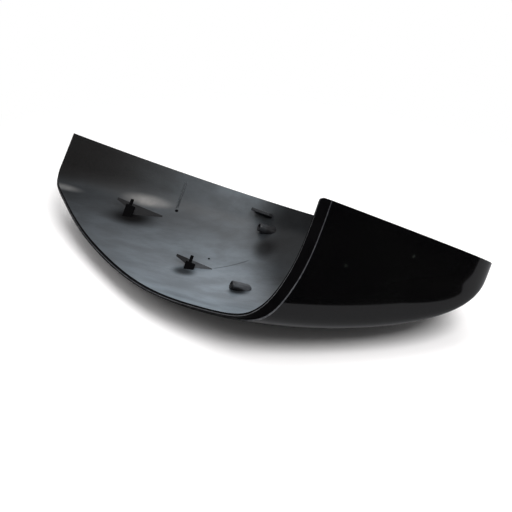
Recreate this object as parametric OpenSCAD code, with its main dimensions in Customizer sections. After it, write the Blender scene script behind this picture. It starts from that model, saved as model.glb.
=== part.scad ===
// Wing mirror cover: a thin moulded shell with an open back, a cut-out for the mirror arm,
// a recessed lip along that cut-out, and moulded clips, posts and a tab on its inside.
//
// The shell is drawn in its own frame first: x runs from the inboard end to the outboard tip,
// y from the near (lower) wall to the far (upper) wall, and z up to the plane of the open back.
// It is then turned to lie on its rounded front, as it comes to rest on a table.

/* [Shell] */
// Length from the inboard end to the outboard tip
shell_length = 226; // [205:1:245]
// Distance between the two walls at the inboard end
shell_width = 158; // [145:1:172]
// Wall thickness
wall = 2.5; // [2.1:0.1:3]
// Distance from the inboard end at which the outline starts to round off
body_length = 94; // [80:1:105]
// Squareness of the rounded end, seen from the front
tip_roundness = 2; // [1.8:0.1:2.4]
// Squareness of the rounded end, seen from below
tip_depth_roundness = 2.8; // [2.2:0.1:3.4]
// Place of the tip between the near wall (0) and the far wall (1)
tip_place = 0.49; // [0.42:0.01:0.55]

/* [Rim] */
// Sideways run of the far rim that grows evenly along the length
far_rim_lean = 6; // [0:1:12]
// Sideways run of the far rim that grows towards the tip
far_rim_sweep = 87.5; // [72:0.5:94]
// Outward run of the near rim that grows evenly along the length
near_rim_lean = 16.5; // [10:0.5:20]
// Inward run of the near rim that grows towards the tip
near_rim_sweep = 1.5; // [0:0.5:8]
// Rise of the rim towards the tip
rim_rise = 3; // [0:0.5:5]

/* [Wall depths] */
// Depth of the far wall at the inboard end
far_depth_in = 32.5; // [28:0.5:36]
// Depth that draws the far wall at a third of the length
far_depth_mid = 18; // [15:0.5:22]
// Depth that draws the far wall at two thirds of the length
far_depth_out = 14.5; // [12:0.5:18]
// Depth of the far wall towards the tip
far_depth_tip = 7; // [6:0.5:12]
// Depth of the near side at the inboard end
near_depth_in = 57.5; // [52:0.5:63]
// Depth that draws the near side at a third of the length
near_depth_mid = 83.5; // [77:0.5:89]
// Depth that draws the near side at two thirds of the length
near_depth_out = 57.5; // [52:0.5:63]
// Depth of the near side towards the tip
near_depth_tip = 43; // [36:0.5:46]

/* [Section] */
// Draft angle of the far wall
far_draft = 7; // [4:0.5:10]
// Draft angle of the near wall
near_draft = 12; // [9:0.5:15]
// Reach of the rounding between the far wall and the front
far_round = 15; // [11:0.5:18]
// Reach of the rounding between the near wall and the front
near_round = 20; // [15:0.5:24]
// Height of the front's crown over a straight line between the walls
crown = 19; // [15:0.5:22]
// Outward swell of the near wall
near_swell = 0.6; // [0:0.1:1.5]

/* [Arm cut-out] */
// Share of the girth that is kept at the inboard end
cut_start = 0.22; // [0.2:0.01:0.25]
// Share of the girth that the rounded inboard corner reaches for
cut_corner = 0.44; // [0.38:0.01:0.48]
// Distance of the bend of the cut from the inboard end
cut_bend = 58; // [45:1:70]
// Share of the girth at that bend
cut_bend_girth = 0.5; // [0.46:0.01:0.52]
// Distance from the inboard end at which the cut turns up the near wall
cut_foot = 108.5; // [102:0.5:114]
// Share of the girth at that turn
cut_foot_girth = 0.63; // [0.6:0.01:0.66]
// Tightness of the turn up the near wall
cut_turn = 0.65; // [0.5:0.02:0.74]
// Distance from the inboard end that draws the cut half way up the near wall
cut_side = 140; // [135:0.5:146]
// Share of the girth that goes with it
cut_side_girth = 0.89; // [0.84:0.01:0.91]
// Distance from the inboard end at which the cut reaches the near rim
cut_top = 138.5; // [133:0.5:145]

/* [Lip] */
// Width of the recessed lip on the near wall
lip_width = 4.8; // [3:0.1:6]
// Depth of the lip's recess
lip_step = 0.9; // [0.5:0.1:1.2]
// Radius of the lip's free corner at the rim
lip_corner = 1.5; // [1:0.5:4]
// Share of the cut's inboard stretch along which the lip fades out
lip_fade = 0.45; // [0.2:0.05:0.8]

/* [Clips] */
// Thickness of a clip's fin
clip_fin = 1.8; // [1.4:0.1:2.4]
// Thickness of a clip's hooked end
clip_hook = 1.4; // [1:0.1:2]
// Length of a clip's hooked end
clip_hook_length = 6; // [5:0.5:8]
// Length of a clip's block
clip_block = 5.5; // [4:0.5:7]
// Width of a clip's block
clip_block_width = 6; // [4:0.5:8]
// Rise of a clip's top edge from its end to its tip
clip_rise = 1; // [0:0.1:2]
// Height of the rib that stands above the fin
clip_rib = 3; // [2:0.5:4]
// Thickness of that rib
clip_rib_thickness = 1.8; // [1.4:0.1:2.4]
// Distance of the end of the clip by the far wall from the inboard end
far_clip_end = 68; // [65:1:73]
// Girth share at which it stands
far_clip_girth = 0.345; // [0.335:0.005:0.355]
// Length of the clip by the far wall
far_clip_length = 28; // [24:1:31]
// Distance of the end of the clip on the front from the inboard end
front_clip_end = 104.5; // [101:0.5:109]
// Girth share at which it stands
front_clip_girth = 0.45; // [0.44:0.005:0.46]
// Length of the clip on the front
front_clip_length = 21; // [18:1:24]

/* [Posts] */
// Diameter of a hollow post's round end
post_diameter = 6.4; // [5.8:0.1:7]
// Diameter of a post at its mouth
post_mouth = 4.8; // [4.4:0.1:5.4]
// Bore of a hollow post
post_bore = 2.8; // [2.4:0.1:3.2]
// Depth of the bore
post_bore_depth = 5.5; // [5:0.5:6]
// Length of a hollow post to the centre of its round end
post_length = 9; // [8:0.5:10]
// Turn of the posts that brings their mouths towards the near wall
post_turn = 18; // [12:1:24]
// Distance of the near post's mouth from the inboard end
near_post_place = 116; // [113:0.5:120]
// Girth share at which the near post starts
near_post_girth = 0.495; // [0.485:0.005:0.505]
// Height of its centre line above the front at its mouth
near_post_lift = 3.2; // [2.9:0.1:3.6]
// Distance of the far post's mouth from the inboard end
far_post_place = 122.5; // [120:0.5:127]
// Girth share at which the far post starts
far_post_girth = 0.34; // [0.33:0.005:0.35]
// Height of its centre line above the front at its mouth
far_post_lift = 7; // [6.4:0.1:7.6]

/* [Tab and rib] */
// Length of the flat tab on the far wall
tab_length = 12; // [9:0.5:15]
// Thickness of the tab
tab_thickness = 1.8; // [1.4:0.1:2.4]
// Reach of the tab from the wall
tab_reach = 6; // [4:0.5:8]
// Distance of the tab from the inboard end
tab_start = 118; // [113:0.5:122]
// Girth share at which the tab stands
tab_girth = 0.15; // [0.14:0.005:0.17]
// Width of the upright rib on the far wall
rib_width = 1.2; // [0.8:0.1:2]
// Height of that rib over the wall
rib_height = 0.8; // [0.5:0.1:1.2]
// Distance of the rib from the inboard end
rib_place = 74; // [71:0.5:77]
// Girth share at which the rib starts
rib_from = 0.06; // [0.05:0.01:0.1]
// Girth share at which the rib ends
rib_to = 0.3; // [0.26:0.01:0.32]

/* [Rest] */
// Pitch towards the tip when the cover lies on its front
rest_pitch = 23.3; // [22:0.1:25]
// Roll towards the near wall when the cover lies on its front
rest_roll = 29.3; // [28:0.1:31]
// Turn about the upright as it lies there
rest_turn = 6; // [0:0.5:12]

/* [Hidden] */
// Number of steps along the cut's inboard stretch, on to the tip, across the girth and up the cut
face_steps = 22;
tip_steps = 30;
girth_steps = 22;
cut_steps = 18;
// How strongly the steps up the cut draw together at its foot and at the rim
cut_spread = 0.1;
// Girth share to each side of the cut over which its length is measured
girth_probe = 0.002;
// Girth share at the tip of the line that carries on from the cut
tip_girth = 0.74;
// Share of a wall's depth at which its middle control point stands
wall_mid = 0.4;
// Share of a side that a rounding may take
round_limit = 0.45;
// Shares of the front's width at which its two crown points stand
crown_low = 0.33;
crown_high = 0.67;
round_facets = 32;
// Steps of a patch that trims an inside feature, and how far it reaches past the feature
patch_steps = 8;
patch_margin = 4;
clip_patch = 0.07;
post_patch = 0.1;
tab_patch = 0.36;
// Height over the rim's plane up to which the inside features are drawn
back_height = 30;
// Depth to which a clip is drawn before the wall trims it
clip_root = 16;
// Depth at which every inside feature ends in the wall
seat = wall / 2;
shell_colour = "#1a1b1d";

// Blends of numbers and points
function mix(a, b, t) = a + (b - a) * t;
function limited(v, low, high) = min(max(v, low), high);
function smooth(t) = let (s = limited(t, 0, 1)) s * s * (3 - 2 * s);
function toward(a, b) = (b - a) / max(norm(b - a), 0.000001);
function bezier(a, b, c, d, t) =
    a * pow(1 - t, 3) + b * 3 * t * pow(1 - t, 2) + c * 3 * t * t * (1 - t) + d * pow(t, 3);

// How far a place along the length is into the rounded end, from 0 to 1
function end_share(x) = limited((x - body_length) / (shell_length - body_length), 0, 1);
// What is left of width or depth there
function end_left(share, roundness) = pow(max(1 - pow(share, roundness), 0), 1 / roundness);
// Place along the length of a surface that lies a distance inside the outer skin
function station(x, inset) =
    x > body_length ? mix(body_length, shell_length - inset, end_share(x)) : x;

// Rims and wall depths along the length
function far_rim(s, inset) = -far_rim_lean * s - far_rim_sweep * s * s - inset;
function near_rim(s, inset) = -shell_width - near_rim_lean * s + near_rim_sweep * s * s + inset;
function far_depth(s) = bezier(far_depth_in, far_depth_mid, far_depth_out, far_depth_tip, s);
function near_depth(s) = bezier(near_depth_in, near_depth_mid, near_depth_out, near_depth_tip, s);

// Control points, as [y, z], of the section that a surface has at one place along the length
function section(x, inset) = let (
    s = station(x, inset) / shell_length,
    width_left = end_left(end_share(x), tip_roundness),
    depth_left = end_left(end_share(x), tip_depth_roundness),
    tip_y = mix(near_rim(s, inset), far_rim(s, inset), tip_place),
    far_y = mix(tip_y, far_rim(s, inset), width_left),
    near_y = mix(tip_y, near_rim(s, inset), width_left),
    rim_z = rim_rise * s * s,
    far_z = mix(rim_z, inset - far_depth(s), depth_left),
    near_z = mix(rim_z, inset - near_depth(s), depth_left),
    far_top = [far_y, rim_z],
    far_foot = [far_y + (far_z - rim_z) * tan(far_draft) * width_left, far_z],
    near_top = [near_y, rim_z],
    near_foot = [near_y - (near_z - rim_z) * tan(near_draft) * width_left, near_z],
    across = near_foot - far_foot,
    down = toward([0, 0], [across[1], -across[0]]) * (across[0] > 0 ? 1 : -1),
    swell = down * crown * depth_left * width_left,
    front_far = far_foot + across * crown_low + swell,
    front_near = far_foot + across * crown_high + swell,
    far_up = min(far_round, round_limit * norm(far_top - far_foot)),
    near_up = min(near_round, round_limit * norm(near_top - near_foot)),
    far_in = min(far_round, round_limit * norm(front_far - far_foot)),
    near_in = min(near_round, round_limit * norm(front_near - near_foot))
) [
    far_top,
    mix(far_top, far_foot, wall_mid),
    far_foot + toward(far_foot, far_top) * far_up,
    far_foot,
    far_foot + toward(far_foot, front_far) * far_in,
    front_far,
    front_near,
    near_foot + toward(near_foot, front_near) * near_in,
    near_foot,
    near_foot + toward(near_foot, near_top) * near_up,
    mix(near_top, near_foot, wall_mid) - [near_swell * width_left, 0],
    near_top
];

// Point of a smooth curve through a section: girth 0 is its far rim and girth 1 its near rim
function along(points, girth) = let (
    last = len(points) - 1,
    g = limited(girth, 0, 1) * last,
    i = min(floor(g), last - 1),
    u = g - i,
    before = i > 0 ? points[i - 1] : 2 * points[0] - points[1],
    after = i + 2 > last ? 2 * points[last] - points[last - 1] : points[i + 2]
) (before * pow(1 - u, 3) + points[i] * (3 * pow(u, 3) - 6 * u * u + 4)
    + points[i + 1] * (-3 * pow(u, 3) + 3 * u * u + 3 * u + 1) + after * pow(u, 3)) / 6;

// Point of the surface that lies a distance inside the outer skin
function skin(x, girth, inset) = let (p = along(section(x, inset), girth))
    [station(x, inset), p[0], p[1]];

// The cut, as [x, girth]: along the front first, and then up the near wall
function cut_front(t) = bezier([0, cut_start], [0, cut_corner], [cut_bend, cut_bend_girth],
    [cut_foot, cut_foot_girth], t);
function cut_wall(t) = let (
    foot = [cut_foot, cut_foot_girth],
    ahead = foot + cut_turn * (foot - [cut_bend, cut_bend_girth])
) bezier(foot, ahead, [cut_side, cut_side_girth], [cut_top, 1], t);
function cut_at(k) = k <= face_steps ? cut_front(k / face_steps)
    : let (share = (k - face_steps) / cut_steps) cut_wall(share - cut_spread * sin(360 * share));

// Nodes of the near wall's grid, as [x, girth]: row 0 carries on from the cut along the front
function tip_angle(x) = atan2(end_share(x), end_left(end_share(x), 2));
function wall_node(row, column) = let (
    start = cut_at(face_steps + row),
    share = column / tip_steps,
    angle = mix(tip_angle(start[0]), 90, share),
    x = column == 0 ? start[0] : mix(body_length, shell_length, sin(angle))
) [x, mix(start[1], mix(tip_girth, 1, row / cut_steps), share)];

// Nodes of the grid from the far rim to the cut, and past the cut to the line that carries on
function front_node(column, row) = let (
    edge = column <= face_steps ? cut_at(column) : wall_node(0, column - face_steps)
) [edge[0], edge[1] * row / girth_steps];

// The same nodes on a surface that lies a distance inside the outer skin
function front_grid(inset) = [for (c = [0:face_steps + tip_steps]) [for (r = [0:girth_steps])
    let (n = front_node(c, r)) skin(n[0], n[1], inset)]];
function wall_grid(inset) = [for (r = [0:cut_steps]) [for (c = [0:tip_steps])
    let (n = wall_node(r, c)) skin(n[0], n[1], inset)]];

// Width and recess of the lip at a step along the cut
function lip_share(k) = smooth((k / face_steps - 1 + lip_fade) / lip_fade);
function lip_reach(k) = let (
    n = cut_at(k),
    up = norm(skin(n[0], n[1], 0) - skin(cut_top, 1, 0)),
    short = max(lip_corner - up, 0)
) lip_width * lip_share(k) - lip_corner + sqrt(max(pow(lip_corner, 2) - short * short, 0));

// Node of the lip's free edge beside a step of the cut
function lip_node(k) = let (
    steps = face_steps + cut_steps,
    n = cut_at(k),
    run = cut_at(min(k + 1, steps)) - cut_at(max(k - 1, 0)),
    span = skin(n[0], n[1] + girth_probe, 0) - skin(n[0], n[1] - girth_probe, 0),
    girth_length = norm(span) / (2 * girth_probe),
    length = norm([run[0], run[1] * girth_length]),
    reach = max(lip_reach(k), 0)
) [n[0] - reach * run[1] * girth_length / length,
    k == steps ? 1 : n[1] + reach * run[0] / length / girth_length];

// Ring of points from the outer skin round the lip to the inner skin, at a step along the cut
function lip_ring(k) = let (n = cut_at(k), e = lip_node(k), recess = lip_step * lip_share(k)) [
    skin(n[0], n[1], 0), skin(n[0], n[1], recess), skin(e[0], e[1], recess),
    skin(e[0], e[1], wall), skin(n[0], n[1], wall)];

// Triangles of a grid of points, of a strip between two rows, and of a small flat fan
function distinct(t) = norm(t[0] - t[1]) > 0.00001 && norm(t[1] - t[2]) > 0.00001
    && norm(t[2] - t[0]) > 0.00001;
function quad(a, b, c, d) = [for (t = [[a, b, c], [a, c, d]]) if (distinct(t)) t];
function sheet(g, flip = false) = [for (i = [0:len(g) - 2], j = [0:len(g[0]) - 2])
    each flip ? quad(g[i][j], g[i + 1][j], g[i + 1][j + 1], g[i][j + 1])
        : quad(g[i][j], g[i][j + 1], g[i + 1][j + 1], g[i + 1][j])];
function fan(p) = [for (i = [1:len(p) - 2]) let (t = [p[0], p[i], p[i + 1]]) if (distinct(t)) t];
function column_of(g, j) = [for (row = g) row[j]];

// A closed body from triangles that share their corners
module triangle_body(triangles) {
    polyhedron(
        points = [for (t = triangles) each t],
        faces = [for (k = [0:len(triangles) - 1]) [3 * k, 3 * k + 1, 3 * k + 2]]
    );
}

// The bare shell with its rims, its cut edge and the lip
module shell() {
    outer_front = front_grid(0);
    inner_front = front_grid(wall);
    outer_wall = wall_grid(0);
    inner_wall = wall_grid(wall);
    lip = [for (k = [0:face_steps + cut_steps]) lip_ring(k)];
    last = face_steps + cut_steps;
    triangle_body(concat(
        sheet(outer_front),
        sheet(inner_front, true),
        sheet(outer_wall, true),
        sheet(inner_wall),
        sheet([column_of(inner_front, 0), column_of(outer_front, 0)], true),
        sheet([outer_wall[cut_steps], inner_wall[cut_steps]], true),
        sheet([inner_front[0], outer_front[0]]),
        sheet(lip),
        fan([for (i = [4:-1:0]) lip[0][i]]),
        fan(lip[last])
    ));
}

// The body between two grids of points that face each other
module between(low, high) {
    rows = len(low) - 1;
    columns = len(low[0]) - 1;
    triangle_body(concat(
        sheet(low),
        sheet(high, true),
        sheet([low[0], high[0]], true),
        sheet([low[rows], high[rows]]),
        sheet([column_of(low, 0), column_of(high, 0)]),
        sheet([column_of(low, columns), column_of(high, columns)], true)
    ));
}

// Grid of points over a patch of the surface that lies a distance inside the outer skin
function patch(xs, girths, inset) = [for (i = [0:patch_steps]) [for (j = [0:patch_steps])
    skin(mix(xs[0], xs[1], i / patch_steps), mix(girths[0], girths[1], j / patch_steps), inset)]];

// The space between the middle of the wall and the open back, over a patch of the shell
module inside(xs, girths) {
    low = patch(xs, girths, seat);
    between(low, [for (row = low) [for (p = row) [p[0], p[1], back_height]]]);
}

// A snap clip: an upright fin whose top runs out into the front, a hooked end that stands free
// of the front, a block at the hook's root and a thin rib on top
module clip(end_x, girth, length) {
    end = skin(end_x, girth, wall);
    tip = end_x - length;
    root = tip + clip_hook_length;
    intersection() {
        union() {
            translate([0, end[1] + clip_fin / 2, end[2]]) rotate([90, 0, 0])
                linear_extrude(clip_fin)
                    polygon([[tip, clip_rise], [end_x, 0], [end_x, -clip_root], [root, -clip_root],
                        [root, -clip_hook - clip_fin], [tip, clip_rise - clip_hook]]);
            translate([root, end[1] - clip_block_width / 2, end[2] - clip_root])
                cube([clip_block, clip_block_width, clip_root - clip_hook]);
            translate([root + clip_hook, end[1] - clip_fin, end[2] - clip_root])
                cube([clip_rib_thickness, 2 * clip_fin, clip_root + clip_rib]);
        }
        inside([tip - patch_margin, end_x + patch_margin], [girth - clip_patch, girth + clip_patch]);
    }
}

// A hollow post that lies along the front: its open mouth faces inboard, and it widens towards
// its round end, which sinks into the rising front
module at_mouth(place, girth, lift) {
    translate(skin(place, girth, wall) + [0, 0, lift]) rotate([0, 90, post_turn]) children();
}
module post(place, girth, lift) {
    intersection() {
        at_mouth(place, girth, lift) {
            cylinder(d1 = post_mouth, d2 = post_diameter, h = post_length, $fn = round_facets);
            translate([0, 0, post_length]) sphere(d = post_diameter, $fn = round_facets);
        }
        inside([place - patch_margin, place + post_length + post_diameter],
            [girth - post_patch, girth + post_patch]);
    }
}

// The bore of a post, from its mouth
module bore(place, girth, lift) {
    at_mouth(place, girth, lift) translate([0, 0, -1])
        cylinder(d = post_bore, h = post_bore_depth + 1, $fn = round_facets);
}

// The flat tab that stands off the far wall
module tab() {
    start = skin(tab_start, tab_girth, wall);
    end = skin(tab_start + tab_length, tab_girth, wall);
    intersection() {
        translate(start) rotate([0, 0, atan2(end[1] - start[1], end[0] - start[0])])
            translate([0, -tab_reach, -tab_thickness / 2])
                cube([tab_length, 2 * tab_reach, tab_thickness]);
        inside([tab_start - patch_margin, tab_start + tab_length + patch_margin], [0, tab_patch]);
    }
}

// The low upright rib on the far wall
module wall_rib() {
    xs = [rib_place - rib_width / 2, rib_place + rib_width / 2];
    between(patch(xs, [rib_from, rib_to], seat), patch(xs, [rib_from, rib_to], wall + rib_height));
}

// The whole moulding in the shell's own frame
module moulding() {
    difference() {
        union() {
            shell();
            clip(far_clip_end, far_clip_girth, far_clip_length);
            clip(front_clip_end, front_clip_girth, front_clip_length);
            post(near_post_place, near_post_girth, near_post_lift);
            post(far_post_place, far_post_girth, far_post_lift);
            tab();
            wall_rib();
        }
        bore(near_post_place, near_post_girth, near_post_lift);
        bore(far_post_place, far_post_girth, far_post_lift);
    }
}

// A point turned as the cover lies at rest
function pitched(p) = [p[0] * cos(rest_pitch) + p[2] * sin(rest_pitch), p[1],
    p[2] * cos(rest_pitch) - p[0] * sin(rest_pitch)];
function rolled(p) = [p[0], p[1] * cos(rest_roll) + p[2] * sin(rest_roll),
    p[2] * cos(rest_roll) - p[1] * sin(rest_roll)];
function turned(p) = [p[0] * cos(rest_turn) - p[1] * sin(rest_turn),
    p[0] * sin(rest_turn) + p[1] * cos(rest_turn), p[2]];
outline = [for (grid = [front_grid(0), wall_grid(0), [for (k = [0:face_steps + cut_steps])
    lip_ring(k)]], row = grid, p = row) turned(rolled(pitched(p)))];
lowest = [for (i = [0:2]) min([for (p = outline) p[i]])];
highest = [for (i = [0:2]) max([for (p = outline) p[i]])];

// The one piece, laid on its front with the middle of its outline over the origin
module mirror_cover() {
    color(shell_colour)
        translate([-(lowest[0] + highest[0]) / 2, -(lowest[1] + highest[1]) / 2, -lowest[2]])
            rotate([0, 0, rest_turn]) rotate([-rest_roll, 0, 0]) rotate([0, rest_pitch, 0])
                moulding();
}

mirror_cover();
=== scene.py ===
import math

import bmesh
import bpy
import numpy as np
from mathutils import Matrix, Vector


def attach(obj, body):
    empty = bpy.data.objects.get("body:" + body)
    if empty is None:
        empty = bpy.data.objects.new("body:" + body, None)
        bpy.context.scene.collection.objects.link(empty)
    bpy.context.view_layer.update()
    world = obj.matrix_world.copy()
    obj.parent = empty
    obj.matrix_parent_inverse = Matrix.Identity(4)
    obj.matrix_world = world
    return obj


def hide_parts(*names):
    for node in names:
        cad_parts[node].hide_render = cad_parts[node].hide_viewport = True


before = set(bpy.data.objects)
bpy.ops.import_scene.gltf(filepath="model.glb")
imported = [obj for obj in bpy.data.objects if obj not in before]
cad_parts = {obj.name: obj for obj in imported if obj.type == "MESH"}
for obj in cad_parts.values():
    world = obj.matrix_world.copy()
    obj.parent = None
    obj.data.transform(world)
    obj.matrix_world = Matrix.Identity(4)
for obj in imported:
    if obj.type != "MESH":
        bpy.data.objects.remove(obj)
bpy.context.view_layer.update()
MM = 0.001

# Sizes of the shell in millimetres, in its own frame: x from the inboard end to the outboard
# tip, y from the near wall to the far wall, z up to the plane of the open back
LENGTH, WIDTH, WALL = 226.0, 158.0, 2.5
BODY, TIP_PLACE = 94.0, 0.49
TIP_ROUND, TIP_DEPTH_ROUND = 2.0, 2.8
FAR_RIM, NEAR_RIM, RIM_RISE = (6.0, 87.5), (16.5, 1.5), 3.0
FAR_DEPTH = (32.5, 18.0, 14.5, 7.0)
NEAR_DEPTH = (57.5, 83.5, 57.5, 43.0)
FAR_DRAFT, NEAR_DRAFT = 7.0, 12.0
FAR_ROUND, NEAR_ROUND, CROWN, SWELL = 15.0, 20.0, 19.0, 0.6
CUT_FRONT = ((0.0, 0.22), (0.0, 0.44), (58.0, 0.5), (108.5, 0.63))
CUT_TURN, CUT_SIDE, CUT_TOP, CUT_SPREAD = 0.65, (140.0, 0.89), 138.5, 0.1
TIP_GIRTH = 0.74
LIP_WIDTH, LIP_STEP, LIP_CORNER, LIP_FADE = 4.8, 0.9, 1.5, 0.45
REST = (23.3, 29.3, 6.0)

# Shares that set the section's control points, and the number of its spans
WALL_MID, ROUND_LIMIT, CROWN_LOW, SPANS = 0.4, 0.45, 0.33, 11
# Half the step in girth over which the length along the section is measured
GIRTH_PROBE = 0.002


def mix(a, b, t):
    return a + (b - a) * t


def unit(v):
    """Vectors of length 1, and of length 0 where there is no direction."""
    return v / np.maximum(np.linalg.norm(v, axis=-1, keepdims=True), 1e-9)


def length(v):
    return np.linalg.norm(v, axis=-1, keepdims=True)


def bezier(points, t):
    """Points of the cubic curve between the first and the last of four points."""
    a, b, c, d = [np.asarray(p, float) for p in points]
    t = np.asarray(t, float)
    if a.ndim:
        t = t[..., None]
    return a * (1 - t) ** 3 + b * 3 * t * (1 - t) ** 2 + c * 3 * t * t * (1 - t) + d * t ** 3


def skin(x, girth, inset=0.0):
    """Point of the surface that lies a distance inside the outer skin."""
    x, girth, inset = np.broadcast_arrays(*[np.asarray(v, float) for v in (x, girth, inset)])
    share = np.clip((x - BODY) / (LENGTH - BODY), 0, 1)
    place = np.where(x > BODY, BODY + (LENGTH - inset - BODY) * share, x)
    s = place / LENGTH
    wide = np.maximum(1 - share ** TIP_ROUND, 0) ** (1 / TIP_ROUND)
    deep = np.maximum(1 - share ** TIP_DEPTH_ROUND, 0) ** (1 / TIP_DEPTH_ROUND)
    far = -FAR_RIM[0] * s - FAR_RIM[1] * s * s - inset
    near = -WIDTH - NEAR_RIM[0] * s + NEAR_RIM[1] * s * s + inset
    tip = mix(near, far, TIP_PLACE)
    far, near, rim = mix(tip, far, wide), mix(tip, near, wide), RIM_RISE * s * s
    far_z = mix(rim, inset - bezier(FAR_DEPTH, s), deep)
    near_z = mix(rim, inset - bezier(NEAR_DEPTH, s), deep)
    far_top, near_top = np.stack([far, rim], -1), np.stack([near, rim], -1)
    far_foot = np.stack([far + (far_z - rim) * math.tan(math.radians(FAR_DRAFT)) * wide, far_z], -1)
    near_foot = np.stack(
        [near - (near_z - rim) * math.tan(math.radians(NEAR_DRAFT)) * wide, near_z], -1)
    across = near_foot - far_foot
    down = unit(np.stack([across[..., 1], -across[..., 0]], -1)) * np.where(across[..., :1] > 0, 1, -1)
    swell = down * (CROWN * deep * wide)[..., None]
    front_far = far_foot + across * CROWN_LOW + swell
    front_near = far_foot + across * (1 - CROWN_LOW) + swell
    far_up = np.minimum(FAR_ROUND, ROUND_LIMIT * length(far_top - far_foot))
    near_up = np.minimum(NEAR_ROUND, ROUND_LIMIT * length(near_top - near_foot))
    far_in = np.minimum(FAR_ROUND, ROUND_LIMIT * length(front_far - far_foot))
    near_in = np.minimum(NEAR_ROUND, ROUND_LIMIT * length(front_near - near_foot))
    bulge = np.stack([SWELL * wide, 0 * wide], -1)
    points = [
        far_top, mix(far_top, far_foot, WALL_MID), far_foot + unit(far_top - far_foot) * far_up,
        far_foot, far_foot + unit(front_far - far_foot) * far_in, front_far, front_near,
        near_foot + unit(front_near - near_foot) * near_in, near_foot,
        near_foot + unit(near_top - near_foot) * near_up, mix(near_top, near_foot, WALL_MID) - bulge,
        near_top]
    points = np.stack([2 * points[0] - points[1]] + points + [2 * points[-1] - points[-2]], 0)
    g = np.clip(girth, 0, 1) * SPANS
    i = np.minimum(np.floor(g).astype(int), SPANS - 1)
    u = (g - i)[..., None]
    where = tuple(np.indices(x.shape))
    p = [points[(i + k,) + where] for k in range(4)]
    yz = (p[0] * (1 - u) ** 3 + p[1] * (3 * u ** 3 - 6 * u * u + 4)
          + p[2] * (-3 * u ** 3 + 3 * u * u + 3 * u + 1) + p[3] * u ** 3) / 6
    return np.concatenate([place[..., None], yz], -1)


def rest_turn():
    """Turn from the shell's own frame to the pose in which it lies on its front."""
    p, r, t = [math.radians(a) for a in REST]
    pitch = np.array([[math.cos(p), 0, math.sin(p)], [0, 1, 0], [-math.sin(p), 0, math.cos(p)]])
    roll = np.array([[1, 0, 0], [0, math.cos(r), math.sin(r)], [0, -math.sin(r), math.cos(r)]])
    turn = np.array([[math.cos(t), -math.sin(t), 0], [math.sin(t), math.cos(t), 0], [0, 0, 1]])
    return turn @ roll @ pitch


TURN = rest_turn()


def grow(rows, columns, node, inset):
    """Grid of points of the skin, from a function that gives the nodes as x and girth."""
    x, girth = node(rows[:, None], columns[None, :])
    return skin(x, girth, inset)


def cut(t):
    """The cut, as x and girth, along the front for t from 0 to 1 and up the near wall from 1 to 2."""
    t = np.asarray(t, float)
    foot, bend = np.array(CUT_FRONT[3]), np.array(CUT_FRONT[2])
    front = bezier(CUT_FRONT, np.clip(t, 0, 1))
    wall = bezier((foot, foot + CUT_TURN * (foot - bend), CUT_SIDE, (CUT_TOP, 1.0)),
                  np.clip(t - 1, 0, 1))
    p = np.where(t[..., None] <= 1, front, wall)
    return p[..., 0], p[..., 1]


def tip_angle(x):
    """The angle round the tip at a place along x, from 0 at the body's end to a right angle."""
    share = np.clip((x - BODY) / (LENGTH - BODY), 0, 1)
    return np.arctan2(share, np.sqrt(1 - share ** 2))


def wall_node(row, column):
    """Node past the cut: row 0 carries on from the cut along the front, row 1 is the near rim."""
    x, girth = cut(1 + row)
    angle = mix(tip_angle(x), math.pi / 2, column)
    past = mix(BODY, LENGTH, np.sin(angle))
    return np.where(column > 0, past, x + 0 * past), mix(girth, mix(TIP_GIRTH, 1, row), column)


def front_node(column, row):
    """Node from the far rim to the cut, for column 0 to 1, and on to the tip, for column 1 to 2."""
    x, girth = cut(np.minimum(column, 1))
    past_x, past_girth = wall_node(0 * column, np.clip(column - 1, 0, 1))
    x, girth = np.where(column <= 1, x, past_x), np.where(column <= 1, girth, past_girth)
    return x + 0 * row, girth * row


FACE_STEPS, TIP_STEPS, GIRTH_STEPS, CUT_STEPS = 90, 80, 84, 60
face_t, tip_t = np.linspace(0, 1, FACE_STEPS + 1), np.linspace(0, 1, TIP_STEPS + 1)
column_t = np.concatenate([face_t, 1 + tip_t[1:]])
row_t = np.linspace(0, 1, GIRTH_STEPS + 1)
up_t = np.linspace(0, 1, CUT_STEPS + 1)
up_t = up_t - CUT_SPREAD * np.sin(2 * math.pi * up_t)


def lip_rings():
    """Rings from the outer skin round the recessed lip to the inner skin, along the cut."""
    t = np.concatenate([face_t, 1 + up_t[1:]])
    x, girth = cut(t)
    share = np.clip((t - 1 + LIP_FADE) / LIP_FADE, 0, 1)
    share = share * share * (3 - 2 * share)
    up = length(skin(x, girth) - skin(CUT_TOP, 1.0))[:, 0]
    short = np.maximum(LIP_CORNER - up, 0)
    reach = LIP_WIDTH * share - LIP_CORNER + np.sqrt(np.maximum(LIP_CORNER ** 2 - short ** 2, 0))
    reach = np.maximum(reach, 0)
    run = np.gradient(np.stack([x, girth], -1), axis=0)
    across = length(skin(x, girth + GIRTH_PROBE) - skin(x, girth - GIRTH_PROBE))[:, 0]
    across = across / (2 * GIRTH_PROBE)
    size = np.hypot(run[:, 0], run[:, 1] * across)
    edge_x = x - reach * run[:, 1] * across / size
    edge_girth = np.minimum(girth + reach * run[:, 0] / size / across, 1)
    edge_girth[-1] = 1
    return [skin(x, girth, 0), skin(x, girth, LIP_STEP * share),
            skin(edge_x, edge_girth, LIP_STEP * share), skin(edge_x, edge_girth, WALL),
            skin(x, girth, WALL)]


def to_rest(points):
    """Points of the shell's own frame, turned but not yet shifted."""
    return points @ TURN.T


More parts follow.
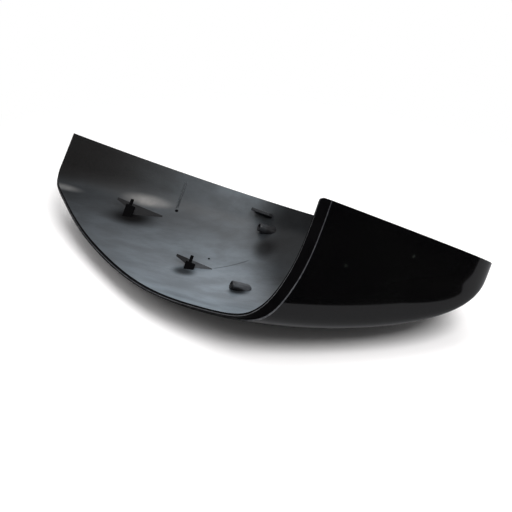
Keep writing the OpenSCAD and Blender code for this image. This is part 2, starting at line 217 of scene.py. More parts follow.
outer = {"front": grow(column_t, row_t, front_node, 0.0), "wall": grow(up_t, tip_t, wall_node, 0.0)}
inner = {"front": grow(column_t, row_t, front_node, WALL), "wall": grow(up_t, tip_t, wall_node, WALL)}
rings = lip_rings()
every = to_rest(np.concatenate([p.reshape(-1, 3) for p in list(outer.values()) + rings]))
lowest, highest = every.min(0), every.max(0)
SHIFT = np.array([-(lowest[0] + highest[0]) / 2, -(lowest[1] + highest[1]) / 2, -lowest[2]])


def placed(points):
    """Points of the shell's own frame in the frame of the part, in metres."""
    return (to_rest(np.asarray(points, float)) + SHIFT) * MM


def new_object(name, data):
    piece = bpy.data.objects.new(name, data)
    bpy.context.scene.collection.objects.link(piece)
    return piece


# The shell's materials by number, and the shares of the cut edge's width between which it carries a
# painted highlight line
GLOSS, BARE, EDGE_HIGHLIGHT, RAW = range(4)
HIGHLIGHT_LINE = (0.3, 0.42)
# The distance in metres under which two points are one, and the digits to which that rounds them
ONE_POINT, ONE_POINT_DIGITS = 1e-7, 7


def shell_mesh():
    """The shell as one mesh, from its outer and inner skin and the rings along the cut."""
    bm = bmesh.new()
    cache = {}

    def vert(p):
        key = tuple(np.round(p, ONE_POINT_DIGITS))
        if key not in cache:
            cache[key] = bm.verts.new(p)
        return cache[key]

    def sheet(grid, flip, index):
        grid = placed(grid)
        made = [[vert(p) for p in row] for row in grid]
        for i in range(len(made) - 1):
            for j in range(len(made[0]) - 1):
                loop = [made[i][j], made[i][j + 1], made[i + 1][j + 1], made[i + 1][j]]
                if flip:
                    loop.reverse()
                loop = [v for k, v in enumerate(loop) if v is not loop[k - 1]]
                if len(loop) > 2 and len(set(loop)) == len(loop) and not bm.faces.get(loop):
                    bm.faces.new(loop).material_index = index

    sheet(outer["front"], False, GLOSS)
    sheet(inner["front"], True, BARE)
    sheet(outer["wall"], True, GLOSS)
    sheet(inner["wall"], False, BARE)
    sheet(np.stack([inner["front"][:, 0], outer["front"][:, 0]]), True, GLOSS)
    sheet(np.stack([outer["wall"][-1], inner["wall"][-1]]), True, GLOSS)
    sheet(np.stack([inner["front"][0], outer["front"][0]]), False, RAW)
    # The painted highlight line on the cut edge, beside the painted highlight on the paint's step
    line = [mix(rings[2], rings[3], share) for share in HIGHLIGHT_LINE]
    lip = np.stack(rings[:3] + line + rings[3:], 1)
    for k, index in enumerate((EDGE_HIGHLIGHT, RAW, RAW, EDGE_HIGHLIGHT, RAW, BARE)):
        sheet(lip[:, k:k + 2], False, index)
    end = [vert(p) for p in placed(lip[-1])]
    bm.faces.new(end).material_index = GLOSS
    bmesh.ops.recalc_face_normals(bm, faces=bm.faces)
    mesh = bpy.data.meshes.new("cover_shell")
    bm.to_mesh(mesh)
    bm.free()
    return mesh


shell = new_object("cover_shell", shell_mesh())

# The girths between which the front is searched for a height, and the number of points there
FRONT_GIRTHS, FRONT_POINTS = (0.08, 0.64), 500


def front_height(x, y, inset):
    """Height of the front's surface over points of the plan, in the shell's own frame."""
    x, y = np.broadcast_arrays(np.asarray(x, float), np.asarray(y, float))
    stretch = (LENGTH - BODY) / (LENGTH - inset - BODY)
    param = np.where(x > BODY, BODY + (x - BODY) * stretch, x)
    girth = np.linspace(*FRONT_GIRTHS, FRONT_POINTS)
    out = np.empty(x.size)
    for k, (one, across) in enumerate(zip(param.ravel(), y.ravel())):
        line = skin(one, girth, inset)
        out[k] = np.interp(-across, -line[:, 1], line[:, 2])
    return out.reshape(x.shape)


def mesh_piece(name, vertices, faces, bevel):
    """A closed piece from points of the shell's own frame, with its edges rounded."""
    mesh = bpy.data.meshes.new(name)
    mesh.from_pydata([tuple(p) for p in placed(vertices)], [], faces)
    bm = bmesh.new()
    bm.from_mesh(mesh)
    bmesh.ops.remove_doubles(bm, verts=bm.verts, dist=ONE_POINT)
    bmesh.ops.recalc_face_normals(bm, faces=bm.faces)
    bm.to_mesh(mesh)
    bm.free()
    piece = new_object(name, mesh)
    finish_piece(piece, bevel)
    return piece


def finish_piece(piece, bevel, angle=35):
    """Smooth shading, and a rounding of the edges that are sharper than the angle in degrees."""
    mesh = piece.data
    mesh.polygons.foreach_set("use_smooth", [True] * len(mesh.polygons))
    if bevel:
        rounding = piece.modifiers.new("round", "BEVEL")
        rounding.width = bevel * MM
        rounding.segments = 3
        rounding.limit_method = "ANGLE"
        rounding.angle_limit = math.radians(angle)
        rounding.harden_normals = True
        rounding.use_clamp_overlap = True


def ribbon(name, low, high, bevel):
    """A closed piece between two rows of points on each side, as arrays of side, step, xyz."""
    steps = low.shape[1]
    points = np.concatenate([low[0], high[0], high[1], low[1]])
    faces = []
    for k in range(steps - 1):
        ring = [k, k + steps, k + 2 * steps, k + 3 * steps]
        for a, b in zip(ring, ring[1:] + ring[:1]):
            faces.append((a, b, b + 1, a + 1))
    for k in (0, steps - 1):
        faces.append((k, k + steps, k + 2 * steps, k + 3 * steps))
    return mesh_piece(name, points, faces, bevel)


CLIP_FIN, CLIP_HOOK, CLIP_HOOK_LENGTH = 1.8, 1.4, 6.0
CLIP_BLOCK, CLIP_BLOCK_WIDTH, CLIP_RISE, CLIP_RIB, CLIP_RIB_THICKNESS = 5.5, 6.0, 1.0, 3.0, 1.8
FIN_BEVEL, BLOCK_BEVEL, CLIP_RIB_BEVEL = 0.25, 0.35, 0.3
# How deep the details' roots lie in the wall, and how much deeper those of the wide blocks
ROOT_DEPTH, BLOCK_SINK = 0.6 * WALL, 1.2
# The least distances along and in height between points of a fin's profile
FIN_STEP, FIN_LEAST = 0.01, 0.1
# The numbers of points along a clip's hook, the rest of its fin, its block and its rib
HOOK_POINTS, FIN_POINTS, BLOCK_POINTS, RIB_POINTS = 5, 14, 3, 2


def clip(name, end_x, girth, size):
    """A snap clip: the fin with its hooked end, the block at the hook's root and the rib on top."""
    end = skin(end_x, girth, WALL)
    tip = end[0] - size
    root = tip + CLIP_HOOK_LENGTH

    def slab(part, x, half, low, high, bevel):
        low, high = [np.broadcast_to(v, x.shape) for v in (low, high)]
        sides = (-half, half)
        rows = [np.stack([np.stack([x, x * 0 + end[1] + side, z], -1) for side in sides])
                for z in (low, high)]
        return ribbon(name + "_" + part, rows[0], rows[1], bevel)

    def top(x):
        return end[2] + CLIP_RISE * (end[0] - x) / size

    hook_x = np.linspace(tip, root, HOOK_POINTS)[:-1]
    x = np.concatenate([hook_x, [root - FIN_STEP], np.linspace(root, end[0], FIN_POINTS)])
    under = top(x) - CLIP_HOOK - CLIP_FIN * (x - tip) / CLIP_HOOK_LENGTH
    rooted = np.minimum(front_height(x, end[1], ROOT_DEPTH), top(x) - FIN_LEAST)
    fin = slab("fin", x, CLIP_FIN / 2, np.where(x < root, under, rooted), top(x), FIN_BEVEL)
    x = np.linspace(root, root + CLIP_BLOCK, BLOCK_POINTS)
    low = front_height(x, end[1], ROOT_DEPTH) - BLOCK_SINK
    block = slab("block", x, CLIP_BLOCK_WIDTH / 2, low, top(x) - CLIP_HOOK, BLOCK_BEVEL)
    x = np.linspace(root + CLIP_HOOK, root + CLIP_HOOK + CLIP_RIB_THICKNESS, RIB_POINTS)
    low = front_height(x, end[1], ROOT_DEPTH)
    return [fin, block, slab("rib", x, CLIP_FIN, low, end[2] + CLIP_RIB, CLIP_RIB_BEVEL)]


POST_RADIUS, MOUTH_RADIUS, BORE_RADIUS, BORE_DEPTH = 3.2, 2.4, 1.4, 5.5
POST_LENGTH, POST_TURN, POST_SIDES = 9.0, 18.0, 48
# The rounded edges of the bore and of the mouth's rim, as pairs of distance from the mouth and
# step in radius, and the distances at which the bore's straight side ends and the taper starts
BORE_EDGE, RIM_EDGE = ((0.07, 0.07), (0.0, 0.25)), ((0.0, -0.3), (0.09, -0.09), (0.3, 0.02))
BORE_END, TAPER_START = 0.25, 1.2
# The numbers of points along a post's taper and round its far end
TAPER_POINTS, ROUND_POINTS = 8, 9


def outer_profile():
    """Pairs of distance and radius from the bore's edge round the mouth to the round end."""
    widening = (POST_RADIUS - MOUTH_RADIUS) / POST_LENGTH
    mouth = [(d, BORE_RADIUS + step) for d, step in BORE_EDGE]
    mouth += [(d, MOUTH_RADIUS + step) for d, step in RIM_EDGE]
    taper = [(d, MOUTH_RADIUS + widening * d)
             for d in np.linspace(TAPER_START, POST_LENGTH, TAPER_POINTS)]
    end = [(POST_LENGTH + POST_RADIUS * math.sin(a), POST_RADIUS * math.cos(a))
           for a in np.linspace(0, math.pi / 2, ROUND_POINTS)[1:]]
    return mouth + taper + end


def post(name, place, girth, lift):
    """A hollow post: a turned profile whose underside ends inside the wall."""
    bore = [(BORE_DEPTH, 0.0), (BORE_DEPTH, BORE_RADIUS), (BORE_END, BORE_RADIUS)]
    profile, turn = bore + outer_profile(), math.radians(POST_TURN)
    ahead = np.array([math.cos(turn), math.sin(turn), 0])
    beside = np.array([-math.sin(turn), math.cos(turn), 0])
    a = (np.arange(POST_SIDES) * 2 * math.pi / POST_SIDES)[:, None]
    round_way = np.cos(a) * beside + np.sin(a) * np.array([0, 0, 1.0])
    points = np.concatenate([d * ahead + r * round_way for d, r in profile])
    points = points + skin(place, girth, WALL) + [0, 0, lift]
    faces = []
    for i in range(len(profile) - 1):
        one, two = i * POST_SIDES, (i + 1) * POST_SIDES
        for j in range(POST_SIDES):
            k = (j + 1) % POST_SIDES
            faces.append((one + j, one + k, two + k, two + j))
    outside = np.arange(len(points)) >= len(bore) * POST_SIDES
    low = front_height(points[outside, 0], points[outside, 1], ROOT_DEPTH)
    points[outside, 2] = np.maximum(points[outside, 2], low)
    return mesh_piece(name, points, faces, 0)


TAB_LENGTH, TAB_THICKNESS, TAB_REACH, TAB_START, TAB_GIRTH = 12.0, 1.8, 6.0, 118.0, 0.15
TAB_SINK, TAB_BEVEL, TAB_POINTS = 1.5, 0.3, 4


def tab():
    """The short flat tab that stands out of the far wall."""
    start, end = skin(TAB_START, TAB_GIRTH, WALL), skin(TAB_START + TAB_LENGTH, TAB_GIRTH, WALL)
    along = unit(np.array([end[0] - start[0], end[1] - start[1], 0]))
    out = np.array([along[1], -along[0], 0])
    step = np.linspace(0, TAB_LENGTH, TAB_POINTS)[:, None]
    rows = []
    for z in (-TAB_THICKNESS / 2, TAB_THICKNESS / 2):
        edge = start + step * along + [0, 0, z]
        rows.append(np.stack([edge - TAB_SINK * out, edge + TAB_REACH * out]))
    return ribbon("tab", rows[0], rows[1], TAB_BEVEL)


RIB_PLACE, RIB_WIDTH, RIB_GIRTHS = 74.0, 1.2, (0.06, 0.3)
# How deep the rib's foot lies in the wall, how far it rises from there, the girth over which its
# ends fade, how full its section is, and its points along and across
RIB_SINK, RIB_RISE, RIB_FADE, RIB_FULLNESS = 0.3, 1.096, 0.012, 0.7
RIB_ALONG, RIB_ACROSS = 40, 9


def wall_rib():
    """The low upright rib on the far wall, rounded across its width and at its ends."""
    girth = np.linspace(*RIB_GIRTHS, RIB_ALONG)
    ends = np.clip(np.minimum(girth - RIB_GIRTHS[0], RIB_GIRTHS[1] - girth) / RIB_FADE, 0, 1)
    rows = []
    for a in np.linspace(0, math.pi, RIB_ACROSS):
        rise = ends * RIB_RISE * max(math.sin(a), 0) ** RIB_FULLNESS
        rows.append(skin(RIB_PLACE - RIB_WIDTH / 2 * math.cos(a), girth, WALL - RIB_SINK + rise))
    starts = [(i * RIB_ALONG + j, (i + 1) * RIB_ALONG + j)
              for i in range(RIB_ACROSS - 1) for j in range(RIB_ALONG - 1)]
    faces = [(one, two, two + 1, one + 1) for one, two in starts]
    return mesh_piece("wall_rib", np.concatenate(rows), faces, 0)


# Shares of a domed mark's radius and height at its rings, the number of its sides, and half the
# steps in x and girth over which its slope is measured
PIP_RINGS, PIP_SIDES = ((0.5, 0.8), (0.85, 0.4), (1.0, -0.4)), 20
PIP_STEP, PIP_GIRTH_STEP = 1.0, 0.01


def pip(name, x, girth, radius, height):
    """A small domed mark on the inside."""
    centre = skin(x, girth, WALL)
    beside = skin(x, girth + PIP_GIRTH_STEP, WALL) - skin(x, girth - PIP_GIRTH_STEP, WALL)
    ahead = unit(skin(x + PIP_STEP, girth, WALL) - skin(x - PIP_STEP, girth, WALL))
    beside = unit(beside - ahead * (beside @ ahead))
    up = np.cross(beside, ahead)
    up = up if up[2] > 0 else -up
    points, faces = [centre + up * height], []
    for ring, (wide, high) in enumerate(PIP_RINGS):
        one, two = 1 + (ring - 1) * PIP_SIDES, 1 + ring * PIP_SIDES
        for j in range(PIP_SIDES):
            a, k = j * 2 * math.pi / PIP_SIDES, (j + 1) % PIP_SIDES
            out = math.cos(a) * ahead + math.sin(a) * beside
            points.append(centre + radius * wide * out + up * height * high)
            faces.append((one + j, one + k, two + k, two + j) if ring else (0, 1 + j, 1 + k))
    return mesh_piece(name, np.array(points), faces, 0)


SHELL_BEVEL, SHELL_BEVEL_ANGLE = 0.45, 40
finish_piece(shell, SHELL_BEVEL, SHELL_BEVEL_ANGLE)
details = clip("far_clip", end_x=68.0, girth=0.345, size=28.0)
details += clip("front_clip", end_x=104.5, girth=0.45, size=21.0)
details.append(post("near_post", place=116.0, girth=0.495, lift=3.2))
details.append(post("far_post", place=122.5, girth=0.34, lift=7.0))
details += [tab(), wall_rib()]
details.append(pip("mould_mark", x=101.2, girth=0.429, radius=0.7, height=0.35))
details.append(pip("rib_foot", x=74.6, girth=0.308, radius=1.1, height=0.6))


class Nodes:
    """Short words for building a material or the world from nodes."""

    def __init__(self, tree):
        self.tree = tree
        tree.nodes.clear()

    def add(self, kind, inputs=(), **settings):
        node = self.tree.nodes.new(kind)
        for name, value in settings.items():
            setattr(node, name, value)
        for name, value in dict(inputs).items():
            self.put(node.inputs[name], value)
        return node

    def put(self, socket, value):
        if hasattr(value, "is_linked"):
            self.tree.links.new(value, socket)
        else:
            socket.default_value = value

    def math(self, operation, a, b=0.0):
        return self.add("ShaderNodeMath", {0: a, 1: b}, operation=operation).outputs[0]

    def product(self, *values):
        result = values[0]
        for value in values[1:]:
            result = self.math("MULTIPLY", result, value)
        return result

    def less(self, value, share):
        """The value lowered by a share of itself."""
        return self.math("MULTIPLY", value, self.math("SUBTRACT", 1.0, share))

    def ramp(self, value, low, high, to_low=0.0, to_high=1.0, smooth=True):
        """A step between two heights, as the value goes from low to high."""
        node = self.add("ShaderNodeMapRange", {"Value": value, "From Min": low, "From Max": high,
                                               "To Min": to_low, "To Max": to_high})
        node.interpolation_type = "SMOOTHSTEP" if smooth else "LINEAR"
        return node.outputs["Result"]

    def mix(self, factor, a, b):
        """A colour between two colours."""
        node = self.add("ShaderNodeMix", data_type="RGBA")
        for socket, value in ((0, factor), (6, a), (7, b)):
            self.put(node.inputs[socket], value)
        return node.outputs[2]

    def curve(self, value, stops):
        """A smooth curve through stops, as pairs of place and height from 0 to 1."""
        node = self.add("ShaderNodeValToRGB", {"Fac": value})
        ramp = node.color_ramp
        ramp.interpolation = "B_SPLINE"
        while len(ramp.elements) < len(stops):
            ramp.elements.new(0.5)
        for element, (where, height) in zip(ramp.elements, stops):
            element.position = where
            element.color = rgb(height, height, height)
        return node.outputs["Color"]

    def noise(self, place, scale, detail=3.0, roughness=0.55):
        """Noise from 0 to 1, with about as many features in a millimetre as the scale."""
        return self.add("ShaderNodeTexNoise", {"Vector": place, "Scale": scale, "Detail": detail,
                                               "Roughness": roughness}).outputs[0]

    def own_place(self):
        """The shell's own coordinates, in millimetres."""
        where = self.add("ShaderNodeTexCoord").outputs["Object"]
        turn = Matrix(TURN.T.tolist()).to_euler()
        shift = -(TURN.T @ SHIFT)
        return self.add("ShaderNodeMapping", {"Vector": where, "Location": shift.tolist(),
                                              "Rotation": turn, "Scale": (1000, 1000, 1000)}).outputs[0]

    def axes(self, place):
        return self.add("ShaderNodeSeparateXYZ", {"Vector": place}).outputs

    def spot(self, place, centre, size, soft):
        """1 in the middle of an ellipsoid and 0 at its edge, with a soft share of its radius."""
        off = self.add("ShaderNodeVectorMath", {0: place, 1: centre}, operation="SUBTRACT").outputs[0]
        off = self.add("ShaderNodeVectorMath", {0: off, 1: tuple(1 / s for s in size)},
                       operation="MULTIPLY").outputs[0]
        far = self.add("ShaderNodeVectorMath", {0: off}, operation="LENGTH").outputs["Value"]
        return self.ramp(far, 1 - soft, 1, 1, 0)


def material(name):
    made = bpy.data.materials.new(name)
    made.use_nodes = True
    return made, Nodes(made.node_tree)


def output(n, shader):
    n.add("ShaderNodeOutputMaterial", {"Surface": shader})


def rgb(r, g, b):
    return (r, g, b, 1.0)


WHITE = rgb(1, 1, 1)

# Soft shares of the radius of the marks: dust, painted shade on the details, painted shadows on the
# inside and painted highlights on the inside
DUST_SOFT, DETAIL_SHADE_SOFT, SHADOW_SOFT, HIGHLIGHT_SOFT = 0.7, 0.4, 0.8, 0.9
# Places, sizes and colour of the dust marks on the outside
DUST = (((155.3, -157.4, -23.5), (1.3, 2.0, 1.0)), ((183.9, -154.9, -8.6), (1.1, 2.0, 1.1)))
DUST_COLOUR = rgb(0.016, 0.019, 0.016)


def gloss_black():
    """Black paint under a clear coat."""
    made, n = material("gloss_black")
    place = n.own_place()
    cloud = n.noise(place, 0.02)
    colour = n.mix(cloud, rgb(0.0007, 0.0006, 0.0010), rgb(0.0021, 0.0022, 0.0020))
    for centre, size in DUST:
        specks = n.ramp(n.noise(place, 2.2), 0.42, 0.58)
        mark = n.spot(place, centre, size, DUST_SOFT)
        colour = n.mix(n.product(mark, specks), colour, DUST_COLOUR)
    peel = n.add("ShaderNodeBump", {"Height": n.noise(place, 0.12, 2.0), "Strength": 0.006,
                                    "Distance": 0.001}).outputs[0]
    shader = n.add("ShaderNodeBsdfPrincipled", {
        "Base Color": colour, "Roughness": n.ramp(cloud, 0.3, 0.7, 0.1, 0.16), "IOR": 1.25,
        "Coat Weight": 1.0, "Coat Roughness": 0.015, "Coat IOR": 1.4, "Coat Normal": peel}).outputs[0]
    output(n, shader)
    return made


def painted_highlight_edge():
    """Painted highlight: a lighter grey on the rounded step where the paint ends beside the lip, and on
    the pale line along the cut edge, where these edges catch the light.
    """
    made, n = material("painted_highlight_edge")
    highlight_cloud = n.ramp(n.noise(n.own_place(), 0.5), 0.3, 0.7)
    shader = n.add("ShaderNodeBsdfPrincipled", {
        "Base Color": n.mix(highlight_cloud, rgb(0.045, 0.047, 0.052), rgb(0.11, 0.112, 0.118)),
        "Roughness": 0.35, "IOR": 1.5}).outputs[0]
    output(n, shader)
    return made


def raw_edge():
    """The dull cut edge, the recessed lip and the darkest small details."""
    made, n = material("raw_edge")
    cloud = n.noise(n.own_place(), 0.15)
    shader = n.add("ShaderNodeBsdfPrincipled", {
        "Base Color": n.mix(cloud, rgb(0.0006, 0.0006, 0.0008), rgb(0.0022, 0.002, 0.0024)),
        "Roughness": n.ramp(cloud, 0.3, 0.7, 0.5, 0.62), "IOR": 1.3,
        "Specular IOR Level": 0.06}).outputs[0]
    output(n, shader)
    return made


# The heights between which the details turn from pale below to dark above, and how pale they are; this
# paleness is painted light, like the inside's haze
DETAIL_HEIGHTS, DETAIL_PALE = (-55.0, -35.0), (0.7, 0.2)
# Places and sizes of painted shade on the clips' hooks and on the posts, where these lie in shade
DETAIL_SHADE = (
    ((54.0, -25.0, -29.0), (26.0, 7.0, 13.0)), ((86.0, -61.3, -46.5), (6.0, 6.0, 9.0)),
    ((131.0, -41.5, -15.0), (6.5, 8.0, 8.0)), ((115.6, -81.9, -51.7), (2.4, 3.0, 3.0)),
    ((120.0, -82.5, -53.6), (7.0, 2.6, 3.0)), ((122.0, -42.9, -15.8), (2.0, 2.4, 2.4)))


def moulded_detail():
    """Satin black plastic of the clips' fins, the posts and the tab, with painted light and shade:
    paler low down and darker at the parts in shade.
    """
    made, n = material("moulded_detail")
    place = n.own_place()
    # Painted light: the details are paler low down, and painted shade darkens their shaded parts
    pale = n.ramp(n.axes(place)["Z"], *DETAIL_HEIGHTS, *DETAIL_PALE)
    pale = n.product(pale, n.noise(place, 0.25))
    for centre, size in DETAIL_SHADE:
        pale = n.less(pale, n.spot(place, centre, size, DETAIL_SHADE_SOFT))
    shader = n.add("ShaderNodeBsdfPrincipled", {
        "Base Color": n.mix(pale, rgb(0.008, 0.008, 0.009), rgb(0.13, 0.14, 0.155)),
        "Roughness": n.ramp(n.noise(place, 0.6), 0.3, 0.7, 0.34, 0.46), "IOR": 1.5,
        "Specular IOR Level": 0.22}).outputs[0]
    output(n, shader)
    return made


# Haze of the inside, a grey that is partly haze and partly painted light, lighter where the inside
# catches the light: on the far wall and on the front along the length, and across the front
WALL_HAZE_AND_LIGHT = ((0.0, 0.0), (0.13, 0.0), (0.22, 0.02), (0.31, 0.09), (0.4, 0.16), (0.487, 0.33),
             (0.54, 0.2), (0.575, 0.06), (0.66, 0.02))
FRONT_HAZE_AND_LIGHT = ((0.0, 0.2), (0.13, 0.24), (0.22, 0.32), (0.31, 0.48), (0.4, 0.54), (0.487, 0.74),
              (0.575, 0.62), (0.66, 0.4))
ACROSS_HAZE_AND_LIGHT = ((0.04, 0.1), (0.07, 0.24), (0.12, 0.15), (0.2, 0.42), (0.32, 0.54), (0.48, 0.66),
               (0.6, 1.0))
CLEAN_BLACK, HAZE_AND_LIGHT_GREY = rgb(0.0035, 0.0032, 0.0032), rgb(0.25, 0.3, 0.345)
# The inside's full shine, and the share of it along the length
FULL_SHINE = 0.5
SHINE = ((0.0, 0.1), (0.13, 0.28), (0.22, 0.5), (0.31, 0.68), (0.4, 0.85), (0.487, 1.0))
# Distances from the far rim at which the far wall turns into the front
WALL_FOOT = (5.0, 9.0)
# Painted shade of the tip's hollow, where the near wall shades it: towards the tip the haze and the
# shine fade over these places along x, which lie further out over the far wall and towards the near
# side
TIP_SHADE, TIP_SHADE_SHARE = (112.0, 136.0), 0.2
WALL_SHIFT, WALL_SHIFT_PLACES = 6.0, (5.0, 10.0)
NEAR_SHIFT, NEAR_SHIFT_PLACES = 20.0, (20.0, 80.0)
# Places, sizes and strengths of the painted shadows beneath the clips and by the posts
PAINTED_SHADOWS = (
    ((52.5, -27.5, -37.0), (23.0, 10.5, 12.5), 0.95), ((90.0, -67.0, -54.0), (9.0, 7.0, 8.0), 0.85),
    ((129.0, -50.0, -27.0), (9.0, 12.0, 13.0), 0.75), ((120.5, -82.5, -54.0), (8.0, 3.6, 4.5), 0.85))
# Places, sizes and colours of the painted highlights along the crease at the far clip and at the
# inboard end
CREASE_HIGHLIGHTS = (
    ((57.0, -15.5, -23.5), (25.0, 6.5, 6.5), rgb(0.17, 0.165, 0.16)),
    ((7.0, -13.0, -32.6), (16.0, 4.0, 4.5), rgb(0.1, 0.1, 0.1)))
# The thin scratch from the front clip towards the far post, in plan: its start, its slope, how far
# its middle lies past its start, and the distances from its line and its middle over which it fades
SCRATCH_START, SCRATCH_SLOPE, SCRATCH_MIDDLE = (104.1, -61.3), 0.298, 9.4
SCRATCH_SIDE, SCRATCH_END, SCRATCH_STRENGTH = (0.15, 0.6), (7.5, 9.5), 0.45


def scratch(n, axis):
    """The strength of the scratch at a place."""
    past = n.math("SUBTRACT", axis["X"], SCRATCH_START[0])
    beside = n.math("SUBTRACT", axis["Y"], SCRATCH_START[1])
    off_line = n.math("ABSOLUTE", n.math("SUBTRACT", beside, n.product(past, SCRATCH_SLOPE)))
    off_middle = n.math("ABSOLUTE", n.math("SUBTRACT", past, SCRATCH_MIDDLE))
    return n.product(n.ramp(off_line, *SCRATCH_SIDE, SCRATCH_STRENGTH, 0.0),
                     n.ramp(off_middle, *SCRATCH_END, 1.0, 0.0))


def bare_inside():
    """Satin black plastic, dull by the inboard end and with a haze towards the cut. The haze's
    lightness is partly painted light, and it holds painted shade in the tip's hollow, painted shadows
    under the clips and by the posts, and painted highlights along the crease.
    """
    made, n = material("bare_inside")
    place = n.own_place()
    axis = n.axes(place)
    cloud, fine = n.noise(place, 0.022, 4.0), n.noise(place, 0.9, 4.0, 0.65)
    along = n.math("DIVIDE", axis["X"], LENGTH)
    sweep = n.math("POWER", n.math("MAXIMUM", along, 0.0), 2.0)
    inward = n.math("SUBTRACT", n.product(sweep, -FAR_RIM[1]), axis["Y"])
    across = n.curve(n.math("DIVIDE", inward, WIDTH), ACROSS_HAZE_AND_LIGHT)
    front_haze_and_light = n.product(n.curve(along, FRONT_HAZE_AND_LIGHT), across)
    on_front = n.ramp(inward, *WALL_FOOT)
    haze_and_light = n.add("ShaderNodeMix", {0: on_front, 2: n.curve(along, WALL_HAZE_AND_LIGHT), 3: front_haze_and_light}).outputs[0]

    # Painted shade in the tip's hollow, painted shadows under the clips and by the posts, and the
    # scratch
    shift = n.math("ADD", n.ramp(inward, *NEAR_SHIFT_PLACES, 0.0, NEAR_SHIFT, smooth=False),
                   n.ramp(inward, *WALL_SHIFT_PLACES, WALL_SHIFT, 0.0))
    painted_shade_and_scratch = n.ramp(n.math("SUBTRACT", axis["X"], shift), *TIP_SHADE, 1.0, TIP_SHADE_SHARE)
    # Painted shadows beneath the clips and by the posts
    for centre, size, strength in PAINTED_SHADOWS:
        painted_shade_and_scratch = n.less(painted_shade_and_scratch, n.product(n.spot(place, centre, size, SHADOW_SOFT), strength))
    painted_shade_and_scratch = n.less(painted_shade_and_scratch, scratch(n, axis))

    streaks = n.add("ShaderNodeMapping", {"Vector": place, "Scale": (0.6, 1.3, 1.3)}).outputs[0]
    streaks = n.ramp(n.noise(streaks, 0.085, 5.0, 0.6), 0.32, 0.68, 0.74, 1.2)
    # The haze is partly painted light: sheen and lit areas drawn as a lighter grey
    haze_and_light = n.product(haze_and_light, painted_shade_and_scratch, streaks, n.ramp(cloud, 0.2, 0.8, 0.86, 1.16))
    colour = n.mix(haze_and_light, CLEAN_BLACK, HAZE_AND_LIGHT_GREY)
    patchy = n.ramp(n.noise(place, 0.12), 0.3, 0.7, 0.65, 1.0)
    # Painted highlights along the crease
    for centre, size, tone in CREASE_HIGHLIGHTS:
        mark = n.spot(place, centre, size, HIGHLIGHT_SOFT)
        colour = n.mix(n.product(mark, patchy), colour, tone)
    bump = n.add("ShaderNodeBump", {"Height": fine, "Strength": 0.1, "Distance": 0.001}).outputs[0]
    shader = n.add("ShaderNodeBsdfPrincipled", {
        "Base Color": colour, "Roughness": n.ramp(cloud, 0.3, 0.7, 0.33, 0.4), "IOR": 1.5,
        "Specular IOR Level": n.product(n.curve(along, SHINE), FULL_SHINE, painted_shade_and_scratch),
        "Normal": bump}).outputs[0]
    output(n, shader)
    return made


inside, edge, detail = bare_inside(), raw_edge(), moulded_detail()
for made in (gloss_black(), inside, painted_highlight_edge(), edge):
    shell.data.materials.append(made)


def detail_material(name):
    """The darkest details are raw, and the wall's rib is as bare as the inside."""
    if name.endswith(("block", "clip_rib", "foot", "mark")):
        return edge
    return inside if name == "wall_rib" else detail


for piece in details:
    piece.data.materials.append(detail_material(piece.name))
for piece in [shell] + details:
    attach(piece, "root")
    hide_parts("mirror_cover")

# Floor, in metres: it lies a hair below the part, and reaches far behind it
FLOOR_SIZE, FLOOR_MIDDLE, FLOOR_GAP = (8, 4.2), 1.35, 0.0003
FLOOR_WHITE = rgb(1, 0.985, 0.985)
# In mirror images the floor is grey, and ends at a soft edge in front of the cover, which comes
# nearer in two steps to the right, given as pairs of x and y
MIRROR_EDGE = ((0.19, -0.32), (0.29, -0.20))
MIRROR_EDGE_RIGHT = ((0.30, 0.0), (0.42, 0.06))
MIRROR_EDGE_SOFT = (-0.006, 0.012)
MIRROR_GREY, MIRROR_DARK = rgb(0.29, 0.29, 0.3), rgb(0.004, 0.004, 0.004)
# Outside the shadow the camera sees the floor plain white: the middle of the shadow, and the
# distances from it over which the floor turns white
SHADOW_MIDDLE, SHADOW_REACH = (-0.03, -0.02, 0), (0.15, 0.30)

bpy.ops.mesh.primitive_plane_add(size=1, location=(0, FLOOR_MIDDLE, -FLOOR_GAP))
floor = bpy.context.object
floor.name = "floor"
floor.scale = FLOOR_SIZE + (1,)


def white_floor():
    """Pale floor that takes the cover's shadow."""
    made, n = material("white_floor")
    where = n.add("ShaderNodeNewGeometry").outputs["Position"]
    axis = n.axes(where)
    (left, left_edge), (right, right_edge) = MIRROR_EDGE
    border = n.ramp(axis["X"], left, right, left_edge, right_edge)
    (left, left_rise), (right, right_rise) = MIRROR_EDGE_RIGHT
    border = n.math("ADD", border, n.ramp(axis["X"], left, right, left_rise, right_rise))
    kept = n.ramp(n.math("SUBTRACT", axis["Y"], border), *MIRROR_EDGE_SOFT)
    mirrored = n.mix(kept, MIRROR_DARK, MIRROR_GREY)
    path = n.add("ShaderNodeLightPath").outputs
    colour = n.mix(path["Is Glossy Ray"], FLOOR_WHITE, mirrored)
    lit = n.add("ShaderNodeBsdfDiffuse", {"Color": colour, "Roughness": 0.0}).outputs[0]
    white = n.add("ShaderNodeEmission", {"Color": WHITE}).outputs[0]
    off = n.add("ShaderNodeVectorMath", {0: where, 1: SHADOW_MIDDLE}, operation="SUBTRACT").outputs[0]
    far = n.add("ShaderNodeVectorMath", {0: off}, operation="LENGTH").outputs["Value"]
    clear = n.product(n.ramp(far, *SHADOW_REACH), path["Is Camera Ray"])
    output(n, n.add("ShaderNodeMixShader", {0: clear, 1: lit, 2: white}).outputs[0])
    return made


floor.data.materials.append(white_floor())

# The world as mirror images show it: dark in front, bright low behind and dimmer high behind, and
# the parts of a direction's y and z over which these change
FRONT_DARK = rgb(0.006, 0.006, 0.007)
BEHIND_LOW, BEHIND_HIGH = rgb(1.5, 1.52, 1.58), rgb(0.6, 0.6, 0.62)
BEHIND_WAY, HIGH_WAY = (0.0, 0.65), (0.45, 0.95)
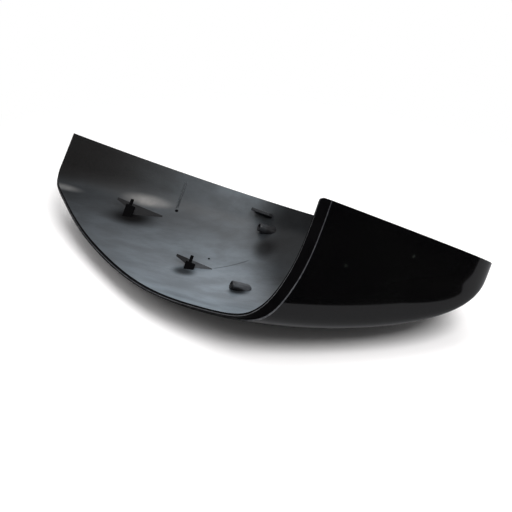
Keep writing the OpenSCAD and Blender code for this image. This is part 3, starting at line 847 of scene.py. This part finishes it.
# The world's soft light, from low to high, and how much it leans to the front
SOFT_LOW, SOFT_HIGH = rgb(0.005, 0.005, 0.005), rgb(0.42, 0.42, 0.42)
SOFT_WAY, SOFT_LEAN = (0.15, 0.9), 0.25


def studio():
    """The world: soft light from above, light of its own in mirror images, white to the camera."""
    world = bpy.data.worlds.new("studio")
    bpy.context.scene.world = world
    world.use_nodes = True
    n = Nodes(world.node_tree)
    axis = n.axes(n.add("ShaderNodeTexCoord").outputs["Generated"])
    behind = n.mix(n.ramp(axis["Z"], *HIGH_WAY), BEHIND_LOW, BEHIND_HIGH)
    gloss_light = n.mix(n.ramp(axis["Y"], *BEHIND_WAY), FRONT_DARK, behind)
    above = n.math("SUBTRACT", axis["Z"], n.product(axis["Y"], SOFT_LEAN))
    soft_light = n.mix(n.ramp(above, *SOFT_WAY), SOFT_LOW, SOFT_HIGH)
    path = n.add("ShaderNodeLightPath").outputs
    light = n.mix(path["Is Glossy Ray"], soft_light, gloss_light)
    light = n.mix(path["Is Camera Ray"], light, WHITE)
    light = n.mix(path["Is Transmission Ray"], light, WHITE)
    background = n.add("ShaderNodeBackground", {"Color": light}).outputs[0]
    n.add("ShaderNodeOutputWorld", {"Surface": background})


LAMP_TARGET = Vector((0, 0, 0.03))


def softbox(name, place, size, watts):
    """A square lamp that faces the cover."""
    lamp = bpy.data.lights.new(name, "AREA")
    lamp.size, lamp.energy = size, watts
    item = new_object(name, lamp)
    item.location = place
    item.rotation_euler = (LAMP_TARGET - Vector(place)).to_track_quat("-Z", "Y").to_euler()


studio()
softbox("key_light", place=(0.34, -0.62, 0.92), size=0.5, watts=11.0)
softbox("top_light", place=(0.0, 0.15, 1.1), size=1.0, watts=6.5)
softbox("fill_light", place=(-0.62, -0.46, 0.97), size=0.4, watts=1.6)

# The camera of the photograph in the shell's own frame: its turn, tilt and roll in degrees, a
# point near the middle of its view, how far that lies beside its axis and ahead, and its lens
VIEW = (-5.227, -0.863, -20.373)
AIM, OFFSET, DISTANCE = np.array([138.0, -69.0, -40.0]), (10.478, -12.204), 491.265
LENS_PIXELS, FRAME_PIXELS, SENSOR = 900.0, 512.0, 36.0


def photo_camera():
    """The camera at the photograph's place, with its lens."""
    (turn_cos, turn_sin), (tilt_cos, tilt_sin), (roll_cos, roll_sin) = [
        (math.cos(a), math.sin(a)) for a in [math.radians(angle) for angle in VIEW]]
    turn = np.array([[turn_cos, turn_sin, 0], [-turn_sin, turn_cos, 0], [0, 0, 1]])
    tilt = np.array([[1, 0, 0], [0, tilt_sin, tilt_cos], [0, tilt_cos, -tilt_sin]])
    roll = np.array([[roll_cos, -roll_sin, 0], [roll_sin, roll_cos, 0], [0, 0, 1]])
    rows = roll @ tilt @ turn
    eye = AIM + rows.T @ np.array([-OFFSET[0], -OFFSET[1], -DISTANCE])
    axes = TURN @ np.stack([rows[0], rows[1], -rows[2]], -1)
    camera = bpy.data.cameras.new("camera")
    camera.sensor_width = SENSOR
    camera.lens = LENS_PIXELS / FRAME_PIXELS * SENSOR
    camera.clip_start, camera.clip_end = 0.01, 100
    item = new_object("camera", camera)
    item.matrix_world = Matrix.Translation(placed(eye).tolist()) @ Matrix(axes.tolist()).to_4x4()
    bpy.context.scene.camera = item


photo_camera()
bpy.context.scene.view_settings.view_transform = "Standard"
